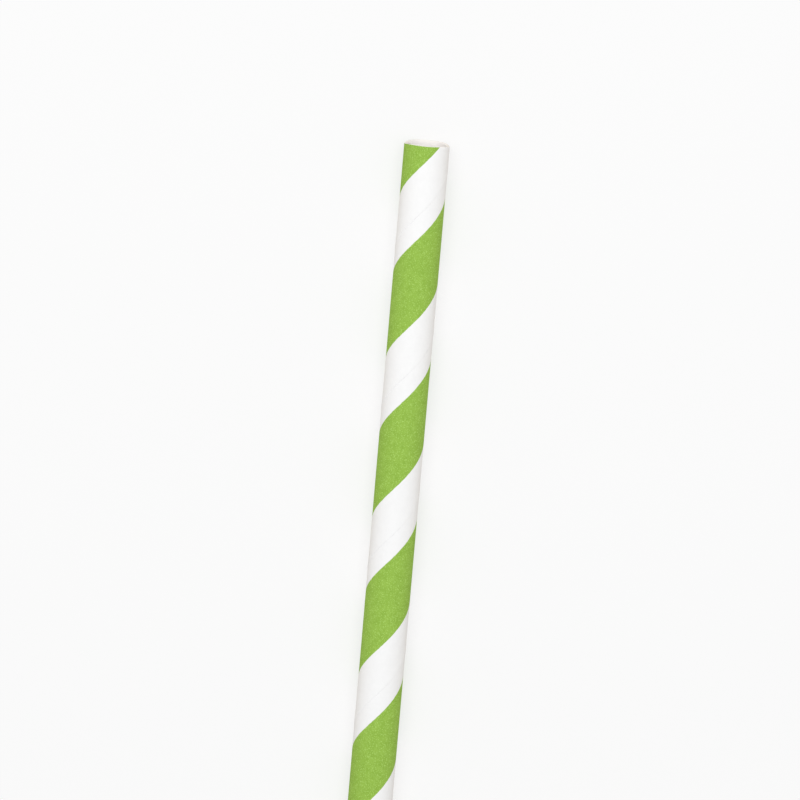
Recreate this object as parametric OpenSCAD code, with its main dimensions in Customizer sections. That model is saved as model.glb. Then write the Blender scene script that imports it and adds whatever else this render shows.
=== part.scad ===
// Paper drinking straw, lying on its side as it comes to rest.
//
// A strip of white paper with one printed band is wound in a right-hand helix
// over plain inner plies, glued, and cut to length. The band becomes the
// stripe, and the butt joint between two turns of the strip stays as a
// hairline in the white. The soft roll has pressed itself a small flat along
// the line that it lies on.
//
// Frame: X runs along the straw towards the drinking end, Z is up, and the
// origin is at the middle of its length, on the surface that it lies on.

/* [Tube] */
// Outside diameter
outer_d = 6; // [5:0.1:12]
// Length from cut to cut
length = 197; // [140:1:260]
// Thickness of the wall, all plies and their glue
wall = 0.4; // [0.3:0.02:0.6]
// Radius of the softened cut rims
rim_r = 0.1; // [0.02:0.01:0.14]

/* [Winding] */
// Width of the outer paper strip
strip_w = 14.1; // [9:0.1:15]
// Gap between two turns of the strip, at its butt joint
joint_w = 0.07; // [0.05:0.01:0.3]
// Depth of the butt joint
joint_depth = 0.1; // [0.09:0.01:0.14]

/* [Print] */
// Width of the printed band, measured across the strip
band_w = 7.6; // [3:0.1:8]
// Bare paper between the band and the edge of the strip on its base side
margin_w = 4.4; // [0.5:0.1:5]
// Length of band on the top line at the drinking end, which sets the stripe's phase
band_start = 2.1; // [0:0.05:8]
// Depth to which the ink colours the paper
ink_depth = 0.02; // [0.01:0.01:0.05]

/* [Rest] */
// Width of the small flat that the straw lies on
flat_w = 1.3; // [0.6:0.1:1.3]

/* [Hidden] */
$fn = 96;

paper_white = "#f8f6f4";
leaf_green = "#8fbb49";

outer_r = outer_d / 2;
around = PI * outer_d;

// Height of the axis over the flat
axis_z = sqrt(pow(outer_r, 2) - pow(flat_w / 2, 2));

// Each turn of the strip climbs by its own width and one joint, measured
// square to its edges. That sets the angle of the winding and its lead.
pitch_w = strip_w + joint_w;
climb = asin(pitch_w / around);
lead = around * tan(climb);

// In the upright section the top line of the lying straw is at -X, and the
// flat is at +X
top_line = 180;

// Angles at the drinking end of the band's edge on its base side, and of the
// butt joint, which lies beyond it by the bare margin
band_edge = top_line + 360 * band_start / lead;
joint_edge = band_edge + 360 * (margin_w + joint_w) / pitch_w;

// The helical cutters run past both ends by this much, and this far out
overrun = 1;
reach_r = 1.15 * outer_r;

// Steps of the helix, and the widest flat side of a cutter
slice_angle = 15;
side_angle = 50;

function around_axis(r, angles) = [for (a = angles) r * [cos(a), sin(a)]];

// A sector that follows the winding over the whole length. Its edge on the
// base side is at the given angle at the drinking end, and its width is
// measured across the strip. It starts at the axis, or else at from_r.
module wound_sector(edge, width, from_r = 0) {
    run = length + 2 * overrun;
    turn = 360 * run / lead;
    span = 360 * width / pitch_w;
    first = edge - 360 * (length + overrun) / lead;
    sides = ceil(span / side_angle);
    angles = [for (i = [0:sides]) first - span * i / sides];
    inside = from_r > 0 ? around_axis(from_r, [first - span, first]) : [[0, 0]];
    outline = concat(around_axis(reach_r, angles), inside);
    translate([0, 0, -overrun])
        linear_extrude(height = run, twist = -turn, slices = ceil(turn / slice_angle),
                       segments = len(outline), convexity = 20)
            polygon(outline);
}

// Section of the wall from cut to cut, with softened rims
module wall_section() {
    translate([outer_r - wall, 0]) {
        translate([rim_r, 0])
            square([wall - 2 * rim_r, length]);
        translate([0, rim_r])
            square([wall, length - 2 * rim_r]);
        for (r = [rim_r, wall - rim_r], z = [rim_r, length - rim_r])
            translate([r, z])
                circle(rim_r);
    }
}

// What is pressed away beyond the flat, or beyond a plane under its surface
module beyond_flat(depth = 0) {
    translate([axis_z - depth, -outer_r, -overrun])
        cube([outer_r, outer_d, length + 2 * overrun]);
}

// The glued tube, upright on its base end
module tube() {
    difference() {
        rotate_extrude()
            wall_section();
        beyond_flat();
    }
}

// The skin of the tube that carries the print: one band along the strip
module printed_band() {
    intersection() {
        difference() {
            tube();
            difference() {
                translate([0, 0, -overrun])
                    cylinder(r = outer_r - ink_depth, h = length + 2 * overrun);
                beyond_flat(ink_depth);
            }
        }
        wound_sector(band_edge, band_w);
    }
}

// The gap that the outer strip leaves between two of its turns
module butt_joint() {
    wound_sector(joint_edge, joint_w, outer_r - joint_depth);
}

module straw() {
    translate([-length / 2, 0, axis_z])
        rotate([0, 90, 0])
            difference() {
                union() {
                    color(paper_white)
                        difference() {
                            tube();
                            printed_band();
                        }
                    color(leaf_green)
                        printed_band();
                }
                color(paper_white)
                    butt_joint();
            }
}

straw();
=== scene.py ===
# %% [markdown]
# # A paper drinking straw
#
# A paper straw is a wound tube. A strip of white paper, with one green band
# printed along it, is wrapped in a right-hand helix over plain inner plies,
# glued, and cut to length with a knife. Everything that the eye sees comes
# from that: the stripe, the hairline joint between two turns of the strip,
# the three plies in the cut edge, and the matt, slightly mottled ink.
#
# The lesson loads the measured CAD part first, and then replaces its solid
# with a finer mesh of the same size whose edges follow the winding.

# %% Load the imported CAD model
import math

import bmesh
import bpy
from mathutils import Matrix, Vector, noise


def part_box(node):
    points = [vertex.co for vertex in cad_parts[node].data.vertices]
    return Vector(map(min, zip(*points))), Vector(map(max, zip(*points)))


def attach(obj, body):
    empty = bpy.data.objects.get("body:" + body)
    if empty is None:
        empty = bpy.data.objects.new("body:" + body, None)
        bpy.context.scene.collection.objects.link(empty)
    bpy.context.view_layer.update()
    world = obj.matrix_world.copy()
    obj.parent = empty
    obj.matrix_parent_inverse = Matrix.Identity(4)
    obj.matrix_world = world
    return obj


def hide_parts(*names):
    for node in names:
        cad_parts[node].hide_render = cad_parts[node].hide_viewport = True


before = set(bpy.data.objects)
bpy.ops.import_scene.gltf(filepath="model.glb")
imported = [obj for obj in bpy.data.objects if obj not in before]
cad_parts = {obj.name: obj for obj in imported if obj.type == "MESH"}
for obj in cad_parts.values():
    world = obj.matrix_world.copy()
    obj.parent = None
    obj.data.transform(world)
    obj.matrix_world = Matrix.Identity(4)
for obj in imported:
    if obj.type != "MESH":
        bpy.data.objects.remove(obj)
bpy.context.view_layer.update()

# %% [markdown]
# ## Sizes
#
# The outside sizes are read off the CAD solid, so that the two can never
# disagree. The winding is worked out from the strip, as the machine makes it:
# each turn of the helix climbs by the width of the strip and one joint. All
# lengths are in metres, which is what Blender and the CAD frame use, so MM
# turns a millimetre into them.

# %% Sizes of the tube and of its winding
# The wall, the rim and the strip repeat the values that the CAD part was made
# with. BAND_START is the length of band on the top line at the drinking end.
MM = 0.001
low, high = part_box("straw")
LENGTH = high.x - low.x
OUTER_R = (high.y - low.y) / 2
AXIS_Z = high.z - OUTER_R
WALL = 0.4 * MM
INNER_R = OUTER_R - WALL
RIM_R = 0.1 * MM

STRIP_W = 14.1 * MM
JOINT_W = 0.07 * MM
JOINT_DEPTH = 0.1 * MM
BAND_W = 7.6 * MM
MARGIN_W = 4.4 * MM
BAND_START = 2.1 * MM

AROUND = 2 * math.pi * OUTER_R
PITCH_W = STRIP_W + JOINT_W
LEAD = AROUND * math.tan(math.asin(PITCH_W / AROUND))
print(f"length {LENGTH / MM:.2f} mm, radius {OUTER_R / MM:.3f} mm, "
      f"axis at {AXIS_Z / MM:.4f} mm, lead {LEAD / MM:.3f} mm")

# %% [markdown]
# ## The phase of the winding
#
# One number says where a point of the skin is across the strip. It is 0 at
# the edge of the green band, grows towards the drinking end, and is back at
# the same place of the next turn at 1. Along the tube it grows by 1 for each
# lead, and round the tube by 1 for each full turn. The mesh and the material
# both use it, so that the print and the joint stay together.

# %% Phase of the winding, and its place on the tube
BAND_SHARE = BAND_W / PITCH_W
JOINT_AT = 1 - (MARGIN_W + JOINT_W) / PITCH_W
JOINT_SHARE = JOINT_W / PITCH_W
TOP_TURN = 0.5
EDGE_TURN = TOP_TURN + BAND_START / LEAD


def on_skin(turn, phase):
    """Angle in radians and place along X of a point of the winding. A turn of
    0 is the lowest line of the tube, and 0.5 is the highest."""
    return 2 * math.pi * turn, LENGTH / 2 + LEAD * (phase - EDGE_TURN + turn)


print(f"band covers phases 0 to {BAND_SHARE:.4f}, "
      f"joint {JOINT_AT:.4f} to {JOINT_AT + JOINT_SHARE:.4f}")

# %% [markdown]
# ## The wound skin
#
# A cylinder with straight edges would cut across the joint, so the skin
# starts as a flat grid instead. Its columns run round the tube, and its rows
# run along the strip. The rows lie about 1.4 mm apart, and close together at
# the joint, where they carry the gap between the two edges of the paper.
# Rolling the grid up shears it by one lead, and the row that leaves at one
# side meets the next turn's row at the other.

# %% Rows of one turn: phase, and how deep the skin lies there
# One edge of each turn stands a little proud of its neighbour at the joint,
# and sinks to the common level within 1.5 mm of it. Glue from the ply below
# half fills the gap between the two. EDGE_DROP is how far the proud edge is
# rounded down, LOW_EDGE the depth of its neighbour's edge, and GAP_CORNER the
# depth of the gap at its sides. All depths are below the CAD part's surface.
PROUD = 0.04 * MM
EDGE_DROP = 0.4 * PROUD
LOW_EDGE = 1.1 * PROUD
GAP_OPEN = 0.5 * JOINT_DEPTH
GAP_CORNER = 0.9 * GAP_OPEN
EDGE_ROUND = 0.09 * MM
ROUND_SHARES = (0.15, 0.5, 1.0)
SINK_W = 1.4 * MM
SINK_STEPS = 5
PLAIN_ROWS = 9


def proud_side(across):
    """Depth of the skin that far from the joint, on its proud side."""
    if across < EDGE_ROUND:
        return EDGE_DROP * (1 - across / EDGE_ROUND) ** 2
    return PROUD * (1 - (1 - (across - EDGE_ROUND) / SINK_W) ** 2)


def turn_rows():
    """Phase and depth of each row of one turn, in the order of their phases."""
    start, end = JOINT_AT, JOINT_AT + JOINT_SHARE
    lip = JOINT_SHARE / 4
    before = [(start - 4 * EDGE_ROUND / PITCH_W, PROUD),
              (start - EDGE_ROUND / PITCH_W, PROUD), (start - lip, LOW_EDGE)]
    gap = [(start + lip / 2, GAP_CORNER), (start + lip, GAP_OPEN),
           (end - lip, GAP_OPEN), (end - lip / 2, GAP_CORNER)]
    rounded = [EDGE_ROUND * share for share in ROUND_SHARES]
    sinking = [EDGE_ROUND + SINK_W * i / SINK_STEPS for i in range(1, SINK_STEPS + 1)]
    after = [(end + across / PITCH_W, proud_side(across))
             for across in rounded + sinking]
    first, last = before[0][0] + 1, after[-1][0]
    plain = [(last + (first - last) * i / PLAIN_ROWS, PROUD)
             for i in range(1, PLAIN_ROWS)]
    rows = before + gap + after + plain
    return sorted((phase % 1.0, depth) for phase, depth in rows)


ROWS = turn_rows()
plain_step = (1 + ROWS[0][0] - ROWS[-1][0]) * PITCH_W
print(len(ROWS), "rows in each turn, at most", round(plain_step / MM, 2), "mm apart")

# %% Roll the grid up into a tube
# The grid starts 1 m square round the origin, so that a point's place on it,
# plus a half, is its share of the way across.
COLUMNS = 128
SAME_POINT = 0.0005 * MM
FIRST_TURN = math.floor(EDGE_TURN - 1 - LENGTH / LEAD)
LAST_TURN = math.ceil(EDGE_TURN)


def skin_point(angle, x, radius):
    """A point at that angle from the lowest line. The tube has pressed itself
    a small flat there, so no point goes below the floor."""
    y = radius * math.sin(angle)
    z = AXIS_Z - radius * math.cos(angle)
    return Vector((x, y, max(z, 0.0)))


rows = [(turn + phase, depth) for turn in range(FIRST_TURN, LAST_TURN)
        for phase, depth in ROWS]
bm = bmesh.new()
bmesh.ops.create_grid(bm, x_segments=COLUMNS, y_segments=len(rows) - 1, size=0.5)
for vert in bm.verts:
    turn = round((vert.co.x + 0.5) * COLUMNS) / COLUMNS
    phase, depth = rows[round((vert.co.y + 0.5) * (len(rows) - 1))]
    angle, x = on_skin(turn, phase)
    vert.co = skin_point(angle, x, OUTER_R - depth)
bmesh.ops.remove_doubles(bm, verts=bm.verts[:], dist=SAME_POINT)
print("rolled skin:", len(bm.verts), "points,", len(bm.faces), "faces")

# %% [markdown]
# ## The cut ends
#
# The machine winds an endless tube and a flying knife cuts it, so the mesh is
# cut as well: a plane trims each end, just before the rim begins, and a second
# plane leaves a ring close behind it, which keeps the shading of the skin
# even. The knife moves along with the tube and is never quite square to it,
# so both ends have the same small skew of less than one degree.

# %% Trim both ends
SUPPORT = 0.12 * MM
SKEW = 0.012
ON_PLANE = 0.0002 * MM


def end_x(direction, z):
    """Where the cut of that end lies at a height. The upper side of the
    drinking end and the lower side of the base reach the CAD part's ends."""
    upright = high.z if direction > 0 else 0.0
    return direction * LENGTH / 2 + SKEW * (z - upright)


def cut(bm, direction, behind, keep_all=False):
    """Cut the mesh behind one end, and drop what lies beyond, unless all is
    kept."""
    bmesh.ops.bisect_plane(
        bm, geom=bm.verts[:] + bm.edges[:] + bm.faces[:], dist=ON_PLANE,
        plane_co=(end_x(direction, 0.0) - direction * behind, 0, 0),
        plane_no=Vector((direction, 0, -direction * SKEW)), clear_outer=not keep_all)


for direction in (1, -1):
    cut(bm, direction, RIM_R)
    cut(bm, direction, RIM_R + SUPPORT, keep_all=True)
print("trimmed skin:", len(bm.verts), "points")

# %% [markdown]
# ## Rims and plies
#
# Each rim is drawn as a section: a soft outer corner, the face of the cut
# with a fine line between the plies, and a soft inner corner. A bevel would
# round the rim too, but it can't draw the plies. So the open edge of the skin
# is extruded along the section, ring by ring, and the joint runs on into the
# cut and ends there, as it does in the real straw. The knife leaves the
# fibres a little ragged, so each ring is pushed back by a small amount that
# changes round the rim.

# %% Section of the rim, as a share of the wall and a distance behind the cut
CORNER_STEPS = 4
PLY_LINES = (0.62, 0.36)
PLY_LINE_W = 0.03
PLY_LINE_DEPTH = 0.014 * MM


def rim_section():
    corner = RIM_R / WALL
    angles = [math.radians(90 * i / CORNER_STEPS) for i in range(1, CORNER_STEPS + 1)]
    outer = [(1 - corner * (1 - math.cos(a)), RIM_R * (1 - math.sin(a)))
             for a in angles]
    lines = [(share + PLY_LINE_W * side, PLY_LINE_DEPTH * (side == 0))
             for share in PLY_LINES for side in (1, 0, -1)]
    inner = [(corner * (1 - math.sin(a)), RIM_R * (1 - math.cos(a)))
             for a in [0.0] + angles]
    return outer + lines + inner


RIM = rim_section()
print(len(RIM), "rings in each rim")

# %% Extrude the rims
# Each point keeps a number that says which surface it is on. The ink runs
# over the outer corner, and the cut's colour ends at the inner one. The ragged
# edge is a slow and a fast wave, each with its pace round the rim and its
# share, and it differs between the two ends.
SKIN, CUT, BORE = 0.0, 1.0, 2.0
INK_ENDS, CUT_ENDS = 0.9, 0.12
RAGGED = 0.025 * MM
WAVES = ((1.7, 0.6), (9.0, 0.4))
END_SEED = 5.0
shows_layer = bm.verts.layers.float.new("shows")
skin_layer = bm.verts.layers.float.new("skin")


def polar(point):
    """Angle from the lowest line, and distance from the axis."""
    return math.atan2(point.y, AXIS_Z - point.z), math.hypot(point.y, AXIS_Z - point.z)


def open_edges(bm, direction):
    return [edge for edge in bm.edges
            if edge.is_boundary and edge.verts[0].co.x * direction > 0]


def ragged(angle, seed):
    """How far the knife's cut lies behind the true end at this angle."""
    around = Vector((math.cos(angle), math.sin(angle), seed))
    return RAGGED * sum(share * (noise.noise(around * pace) * 0.5 + 0.5)
                        for pace, share in WAVES)


def extrude_ring(bm, edges, share, behind, direction, shows):
    """Extrude an open ring to that share of the wall and that far behind the
    end's cut. Returns the new open ring."""
    made = bmesh.ops.extrude_edge_only(bm, edges=edges)["geom"]
    for point in made:
        if isinstance(point, bmesh.types.BMVert):
            angle = polar(point.co)[0]
            radius = INNER_R + (point[skin_layer] - INNER_R) * share
            frayed = ragged(angle, END_SEED * direction) * max(1 - behind / RIM_R, 0)
            point.co = skin_point(angle, 0, radius)
            point.co.x = end_x(direction, point.co.z) - direction * (behind + frayed)
            point[shows_layer] = shows
    return [edge for edge in made
            if isinstance(edge, bmesh.types.BMEdge) and edge.is_boundary]


inner_rings = {}
for direction in (1, -1):
    edges = open_edges(bm, direction)
    for edge in edges:
        for point in edge.verts:
            point[skin_layer] = polar(point.co)[1]
    for share, behind in RIM:
        shows = SKIN if share > INK_ENDS else CUT if share > CUT_ENDS else BORE
        edges = extrude_ring(bm, edges, share, behind, direction, shows)
    inner_rings[direction] = edges
print("rings:", {side: len(edges) for side, edges in inner_rings.items()}, "edges")

# %% [markdown]
# ## The bore
#
# The inner wall is smooth, because the inner plies were wound on a polished
# mandrel. One bridge from rim to rim would close the tube too, but with faces
# 197 mm long and a tenth of a millimetre wide. So the ring at the drinking end
# is extruded down the bore in steps of about 5 mm, and a bridge joins the last
# one to the ring at the base end.

# %% Inner wall, from the drinking end to the base
BORE_STEPS = 40
edges = extrude_ring(bm, inner_rings[1], 0, RIM_R + SUPPORT, 1, BORE)
for step in range(1, BORE_STEPS):
    edges = extrude_ring(bm, edges, 0, LENGTH * step / BORE_STEPS, 1, BORE)
bmesh.ops.bridge_loops(bm, edges=edges + inner_rings[-1])
print("bore: steps of", round(LENGTH / BORE_STEPS / MM, 2), "mm")

# %% [markdown]
# ## The squeeze of the knife
#
# The knife squeezes the tube while it cuts, and the paper springs back. The
# cut is then no longer flat: it dips at both sides, which gives the mouth its
# blunt corners. The points near each cut are moved inwards along the tube,
# most at the sides and at the cut itself, so the shell stays whole. A higher
# DIP_SHARPNESS keeps the dip closer to the sides.

# %% Dip of the cut
DIP = 0.2 * MM
DIP_REACH = 3 * MM
DIP_SHARPNESS = 8
near_cuts = [vert for vert in bm.verts if LENGTH / 2 - abs(vert.co.x) < DIP_REACH]
for vert in near_cuts:
    behind = LENGTH / 2 - abs(vert.co.x)
    sideways = abs(math.sin(polar(vert.co)[0])) ** DIP_SHARPNESS
    inwards = DIP * sideways * (1 - behind / DIP_REACH) ** 2
    vert.co.x -= math.copysign(inwards, vert.co.x)
print("dip:", len(near_cuts), "points near the two cuts, moved up to", DIP / MM, "mm")

# %% Turn the faces outwards, and check that the shell is closed
bmesh.ops.recalc_face_normals(bm, faces=bm.faces[:])
for face in bm.faces:
    face.smooth = True
bm.verts.layers.float.remove(skin_layer)
open_left = sum(edge.is_boundary for edge in bm.edges)
volume = bm.calc_volume()
print(f"straw: {len(bm.verts)} points, {len(bm.faces)} faces, {open_left} open edges, "
      f"volume {volume / MM ** 3:.1f} mm3")

# %% Give the points and the faces a fixed order
# The operators may list what they made in another order on each run. Sorted
# by place, the mesh comes out the same each time, to the last byte.


def sort_by(elements, place):
    """Put points or faces in the order of their places."""
    rank = {element: i for i, element in enumerate(sorted(elements, key=place))}
    elements.sort(key=rank.get)
    elements.index_update()


sort_by(bm.verts, lambda point: point.co[:])
sort_by(bm.faces, lambda face: sorted(point.index for point in face.verts))
bm.verts.ensure_lookup_table()
print("first point after sorting:", [round(c / MM, 3) for c in bm.verts[0].co])

# %% Make the mesh an object
mesh = bpy.data.meshes.new("wound_straw")
bm.to_mesh(mesh)
bm.free()
straw = bpy.data.objects.new("wound_straw", mesh)
bpy.context.scene.collection.objects.link(straw)
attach(straw, "root")
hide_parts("straw")
print("triangles:", sum(len(polygon.vertices) - 2 for polygon in mesh.polygons))

# %% [markdown]
# ## Helpers for materials
#
# Colours are written as sRGB hex values, as a designer would, and one
# function turns them to the linear values that the shader works with. A
# second function adds a node, sets its values and links its inputs.

# %% Colour and node helpers


def srgb(code):
    """Linear colour of a hex value such as #a0c85a, by the sRGB standard."""
    parts = [int(code[i:i + 2], 16) / 255 for i in (1, 3, 5)]
    linear = [c / 12.92 if c <= 0.04045 else ((c + 0.055) / 1.055) ** 2.4
              for c in parts]
    return (*linear, 1.0)


def add(tree, kind, inputs=None, **settings):
    """Add a node. Each input is a value, the output that it is linked to, or
    a node, whose first output is linked."""
    node = tree.nodes.new("ShaderNode" + kind)
    for name, value in settings.items():
        setattr(node, name, value)
    for name, value in (inputs or {}).items():
        if isinstance(value, bpy.types.Node):
            value = value.outputs[0]
        if isinstance(value, bpy.types.NodeSocket):
            tree.links.new(value, node.inputs[name])
        else:
            node.inputs[name].default_value = value
    return node


def empty_tree(owner):
    """The node tree of a new material or world, with nothing in it yet."""
    owner.use_nodes = True
    owner.node_tree.nodes.clear()
    return owner.node_tree


print("half grey in linear values:", [round(c, 3) for c in srgb("#808080")])

# %% [markdown]
# ## Uncoated kraft paper, flexo printed
#
# The strip is bleached, uncoated kraft paper of about 60 g/m2, printed with
# water-based ink before it is wound. The paper is matt and a neutral white.
# The ink soaks in unevenly between the fibres, which gives the green its fine
# light specks, about 0.15 mm across, and softer clouds of about 1 mm. The cut
# edge has no ink and shows the cream colour of glue and raw fibre.
#
# The stripe could be faces of its own, but its edge is finer than the mesh.
# So it is painted by the phase of the winding, which is worked out from
# Object coordinates: the arc tangent gives the turn, and X gives the climb.

# %% The phase as nodes
paper = bpy.data.materials.new("uncoated_kraft_flexo_print")
tree = empty_tree(paper)
place = add(tree, "TexCoord").outputs["Object"]
axes = add(tree, "SeparateXYZ", {"Vector": place}).outputs
up = add(tree, "Math", {0: AXIS_Z, 1: axes["Z"]}, operation="SUBTRACT")
around = add(tree, "Math", {0: axes["Y"], 1: up}, operation="ARCTAN2")
climb = add(tree, "Math", {0: axes["X"], 1: 1 / LEAD, 2: EDGE_TURN - LENGTH / 2 / LEAD},
            operation="MULTIPLY_ADD")
phase = add(tree, "Math", {0: around, 1: -1 / (2 * math.pi), 2: climb},
            operation="MULTIPLY_ADD")
print("one phase is", round(LEAD / MM, 2), "mm along the tube")

# %% The printed band
# The print's edge wavers by a few hundredths of a millimetre where the ink
# creeps along the fibres.
EDGE_SOFT = 0.035 * MM
CREEP = 0.05 * MM
CREEP_LENGTH = 0.5 * MM
fibre_paths = add(tree, "TexNoise", {"Vector": place, "Scale": 1 / CREEP_LENGTH,
                                     "Detail": 2.0, "Roughness": 0.6})
creep = add(tree, "MapRange", {"Value": fibre_paths, "To Min": -CREEP / PITCH_W,
                               "To Max": CREEP / PITCH_W})
half, soft = BAND_SHARE / 2, EDGE_SOFT / PITCH_W
crept = add(tree, "Math", {0: phase, 1: creep}, operation="ADD")
past_middle = add(tree, "Math", {0: crept, 1: half}, operation="SUBTRACT")
from_middle = add(tree, "Math", {0: past_middle, 1: 0.5}, operation="PINGPONG")
band = add(tree, "MapRange", {"Value": from_middle, "From Min": half - soft,
                              "From Max": half + soft, "To Min": 1.0, "To Max": 0.0},
           interpolation_type="SMOOTHSTEP")
print(f"band edges at phases 0 and {BAND_SHARE:.4f}, soft over {EDGE_SOFT / MM} mm")

# %% Masks
# Each mask rises from 0 to 1 between its two limits: where the ink is cloudy
# or speckled, where the paper is dull, and where the cut and the bore begin.
SPECK = 0.15 * MM
CLOUD = 0.8 * MM
specks = add(tree, "TexNoise", {"Vector": place, "Scale": 1 / SPECK,
                                "Detail": 2.0, "Roughness": 0.55})
clouds = add(tree, "TexNoise", {"Vector": place, "Scale": 1 / CLOUD,
                                "Detail": 3.0, "Roughness": 0.6})
shows = add(tree, "Attribute", attribute_name="shows").outputs["Fac"]
LIMITS = {"cloudy": (clouds, 0.35, 0.65), "speckled": (specks, 0.5, 0.68),
          "dull": (clouds, 0.3, 0.7), "cut": (shows, 0.2, 0.8),
          "bore": (shows, 1.2, 1.9)}
masks = {}
for name, (value, start, end) in LIMITS.items():
    masks[name] = add(tree, "MapRange", {"Value": value, "From Min": start,
                                         "From Max": end},
                      interpolation_type="SMOOTHSTEP")
skin = add(tree, "MapRange", {"Value": shows, "To Min": 1.0, "To Max": 0.0})
ink = add(tree, "Math", {0: band, 1: skin}, operation="MULTIPLY")
print("masks:", sorted(masks))

# %% Ink and paper colours
# The sockets of a colour Mix node go by number, because names are shared.
FIRST, SECOND, MIXED = 6, 7, 2
GREEN_DEEP = srgb("#8fb648")
GREEN = srgb("#97be4f")
GREEN_SPECK = srgb("#aed46b")
PAPER = srgb("#f8f8f8")
PAPER_DULL = srgb("#f6f6f6")
CUT_EDGE = srgb("#f3f0eb")
# The bore is whiter than the outer paper. Part of that is the inner plies' own white,
# and part is painted light, for the light that comes through the thin wall.
BORE_PAPER_AND_PAINTED_LIGHT = srgb("#fdfaf8")

mottled = add(tree, "Mix", {0: masks["cloudy"], FIRST: GREEN_DEEP, SECOND: GREEN},
              data_type="RGBA").outputs[MIXED]
green = add(tree, "Mix", {0: masks["speckled"], FIRST: mottled, SECOND: GREEN_SPECK},
            data_type="RGBA").outputs[MIXED]
white = add(tree, "Mix", {0: masks["dull"], FIRST: PAPER, SECOND: PAPER_DULL},
            data_type="RGBA").outputs[MIXED]
outside = add(tree, "Mix", {0: ink, FIRST: white, SECOND: green},
              data_type="RGBA").outputs[MIXED]
raw = add(tree, "Mix", {0: masks["bore"], FIRST: CUT_EDGE, SECOND: BORE_PAPER_AND_PAINTED_LIGHT},
          data_type="RGBA").outputs[MIXED]
colour = add(tree, "Mix", {0: masks["cut"], FIRST: outside, SECOND: raw},
             data_type="RGBA").outputs[MIXED]
print("deep green in linear values:", [round(c, 3) for c in GREEN_DEEP])

# %% Surface of the paper
# The fibres stand a few microns proud. The bump is drawn at 0.12 mm, coarser
# than the real fibres of 0.03 mm, which the picture could not show.
FIBRE = 0.12 * MM
FIBRE_HEIGHT = 0.01 * MM
fibres = add(tree, "TexNoise", {"Vector": place, "Scale": 1 / FIBRE,
                                "Detail": 3.0, "Roughness": 0.6})
bump = add(tree, "Bump", {"Height": fibres, "Strength": 0.25, "Distance": FIBRE_HEIGHT})
fibrous = add(tree, "BsdfPrincipled", {"Base Color": colour, "Roughness": 0.8,
                                       "Specular IOR Level": 0.1, "Normal": bump})
add(tree, "OutputMaterial", {"Surface": fibrous})
straw.data.materials.append(paper)
print("nodes in the paper:", len(tree.nodes))

# %% [markdown]
# ## Floor and backdrop
#
# The straw lies on a plain pale floor. More light would turn the floor white,
# but the paper with it. So most of the white that the camera sees is a glow,
# and the rest is a matt board, on which the straw still casts its shadow. The
# light that bounces off the board is a little warm, and so are the shaded
# sides of the white paper.

# %% Floor
FLOOR_SIDE = 12.0
BOARD_GLOW = 0.7
BACKDROP_WHITE = srgb("#fcfcfc")
BOARD_SEEN = srgb("#f5f5f5")
BOARD_BOUNCE = srgb("#ece4da")


def looked_at(tree):
    """1 for the rays that look at the surroundings, directly, in a reflection
    or through something clear, and 0 for the light that falls on the straw."""
    rays = add(tree, "LightPath").outputs
    indirect = add(tree, "Math", {0: rays["Is Glossy Ray"],
                                  1: rays["Is Transmission Ray"]}, operation="ADD")
    return add(tree, "Math", {0: rays["Is Camera Ray"], 1: indirect},
               operation="ADD", use_clamp=True)


bm = bmesh.new()
bmesh.ops.create_grid(bm, x_segments=1, y_segments=1, size=FLOOR_SIDE / 2)
floor_mesh = bpy.data.meshes.new("floor")
bm.to_mesh(floor_mesh)
bm.free()
floor = bpy.data.objects.new("floor", floor_mesh)
bpy.context.scene.collection.objects.link(floor)

board = bpy.data.materials.new("matt_white_board")
tree = empty_tree(board)
seen = looked_at(tree)
board_colour = add(tree, "Mix", {0: seen, FIRST: BOARD_BOUNCE, SECOND: BOARD_SEEN},
                   data_type="RGBA").outputs[MIXED]
matt = add(tree, "BsdfDiffuse", {"Color": board_colour})
glow = add(tree, "Emission", {"Color": BACKDROP_WHITE, "Strength": 1.0})
share = add(tree, "Math", {0: seen, 1: BOARD_GLOW}, operation="MULTIPLY")
surface = add(tree, "MixShader", {0: share, 1: matt, 2: glow})
add(tree, "OutputMaterial", {"Surface": surface})
floor_mesh.materials.append(board)
print("floor side:", FLOOR_SIDE, "m")

# %% World: white to the camera, an even soft light to the straw
SKY = 0.505
world = bpy.data.worlds.new("soft_white")
bpy.context.scene.world = world
tree = empty_tree(world)
strength = add(tree, "MapRange", {"Value": looked_at(tree), "To Min": SKY,
                                  "To Max": 1.0})
sky = add(tree, "Background", {"Color": BACKDROP_WHITE, "Strength": strength})
add(tree, "OutputWorld", {"Surface": sky})
print("sky strength:", SKY)

# %% [markdown]
# ## Light
#
# One large softbox stands above the straw, out towards its drinking end, so
# that it lights the inside of the mouth as well. It is also a little to the
# picture's left, and the white paper turns grey first at its right edge. A
# light of radiance 1 from all sides would show each colour as it is written,
# and the sky and the box add up to about that.

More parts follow.
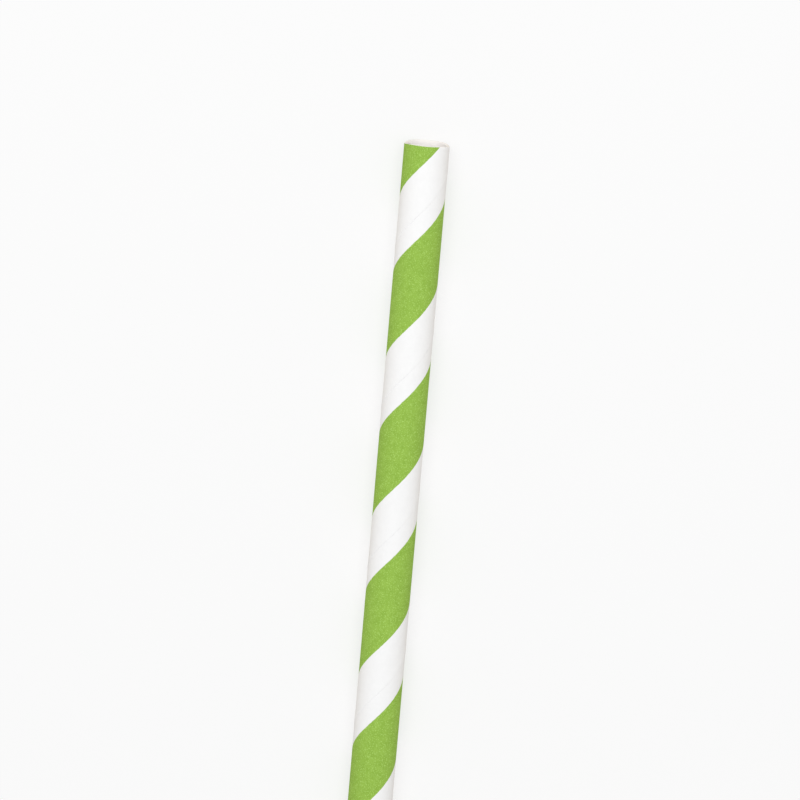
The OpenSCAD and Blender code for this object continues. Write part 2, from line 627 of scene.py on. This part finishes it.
# %% Softbox
# KEY_SHARE is the share of a full white that a small lamp of the same energy
# would give to a surface that faces it. The wide box gives four fifths of it.
KEY_TOWARDS = Vector((0.45, 0.04, 0.88)).normalized()
KEY_DISTANCE = 0.75
KEY_SIDE = 0.65
KEY_SHARE = 0.69
lamp = bpy.data.lights.new("softbox", "AREA")
lamp.shape = "SQUARE"
lamp.size = KEY_SIDE
lamp.energy = KEY_SHARE * math.pi ** 2 * KEY_DISTANCE ** 2
softbox = bpy.data.objects.new("softbox", lamp)
softbox.matrix_world = (Matrix.Translation(KEY_TOWARDS * KEY_DISTANCE)
                        @ KEY_TOWARDS.to_track_quat("Z", "Y").to_matrix().to_4x4())
bpy.context.scene.collection.objects.link(softbox)
print("softbox at", [round(c, 3) for c in softbox.matrix_world.translation])

# %% [markdown]
# ## Camera
#
# The photo looks at an upright straw from the side, so for the lying straw
# the camera looks down on it. Its place follows from four measures of the
# picture: where the centre of the mouth is, how far the straw leans, how open
# the ellipse of the mouth is, and how fast the straw grows towards its base.

# %% Camera
# FOCAL, PICTURE and MOUTH_AT are in pixels of the picture.
PICTURE = 800
FOCAL = 5200
SENSOR_MM = 36.0
MOUTH_AT = (427.15, 142.96)
MOUTH_DEPTH = 674.0 * MM
TILT = math.radians(12.07)
LEAN = math.radians(4.95)

forward = Vector((-math.sin(TILT), 0, -math.cos(TILT)))
across = Vector((0, -1, 0))
upward = Vector((math.cos(TILT), 0, -math.sin(TILT)))
right = math.cos(LEAN) * across + math.sin(LEAN) * upward
top = math.cos(LEAN) * upward - math.sin(LEAN) * across
ray = ((MOUTH_AT[0] - PICTURE / 2) / FOCAL * right
       - (MOUTH_AT[1] - PICTURE / 2) / FOCAL * top + forward)
mouth = Vector((LENGTH / 2, 0, AXIS_Z))

lens = bpy.data.cameras.new("camera")
lens.sensor_width = SENSOR_MM
lens.lens = SENSOR_MM * FOCAL / PICTURE
lens.clip_start = 0.01
lens.clip_end = 100.0
camera = bpy.data.objects.new("camera", lens)
turned = Matrix((right, top, -forward)).transposed().to_4x4()
camera.matrix_world = Matrix.Translation(mouth - MOUTH_DEPTH * ray) @ turned
bpy.context.scene.collection.objects.link(camera)
bpy.context.scene.camera = camera
print("camera at", [round(c, 4) for c in camera.matrix_world.translation],
      "lens", round(lens.lens, 1), "mm")

# %% View settings, and the end
bpy.context.scene.view_settings.view_transform = "Standard"
